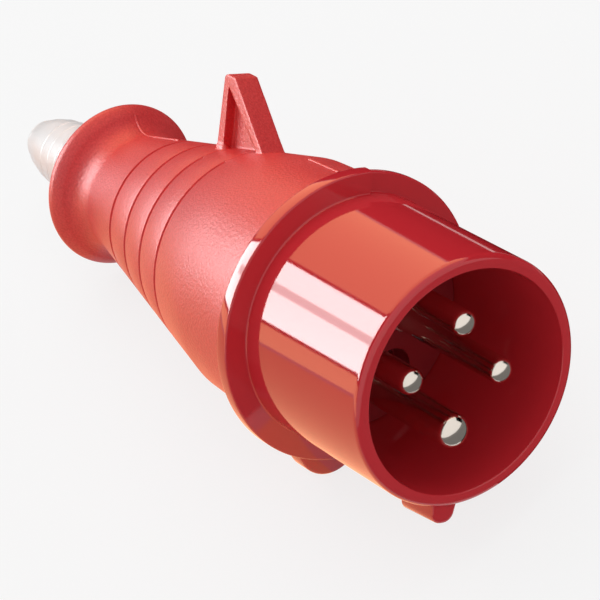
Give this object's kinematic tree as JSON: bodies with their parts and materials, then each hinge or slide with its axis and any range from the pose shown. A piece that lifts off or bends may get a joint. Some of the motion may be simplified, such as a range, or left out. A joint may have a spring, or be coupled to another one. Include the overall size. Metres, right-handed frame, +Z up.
{
  "type": "industrial pin and sleeve plug",
  "caption": "Round red industrial plug: a glossy shroud with a key rib round domed pins, a collar, a ribbed tapering handle with a fin and flare, and a white cable sleeve.",
  "frame": {"origin": "on the surface it lies on, below the middle of its bounding box", "axes": "the plug lies on its collar, its screw lug and its flare; +X is the way the pins point, 8.0 degrees below the plug's own axis, and twelve o'clock leans 34.2 degrees towards +Y; +Z is up"},
  "size_m": [0.1841, 0.0678, 0.0685],
  "materials": {
    "shroud_gloss": "smooth glossy moulding",
    "handle_matt": "fine spark-eroded texture",
    "carrier_plastic": "smooth moulding",
    "plated_brass": "nickel plated and polished",
    "insert_brass": "turned",
    "screw_steel": "zinc plated",
    "black_rubber": "matt",
    "white_sleeve": "soft satin moulding"
  },
  "bodies": {
    "root": {"front_shroud": "shroud_gloss", "handle_body": "handle_matt", "housing_gasket": "black_rubber", "housing_screw": "screw_steel", "housing_insert": "insert_brass", "pin_carrier": "carrier_plastic", "carrier_cover": "carrier_plastic", "carrier_screw_right": "screw_steel", "carrier_screw_left": "screw_steel", "phase_pin_top": "plated_brass", "phase_pin_right": "plated_brass", "phase_pin_left": "plated_brass", "earth_pin": "plated_brass", "terminal_screw_top": "screw_steel", "terminal_screw_right": "screw_steel", "terminal_screw_left": "screw_steel", "terminal_screw_earth": "screw_steel", "cable_sleeve": "white_sleeve", "cable_seal": "black_rubber", "pressure_ring": "carrier_plastic", "pressure_screw_right": "screw_steel", "pressure_screw_left": "screw_steel"}
  },
  "joints": []
}
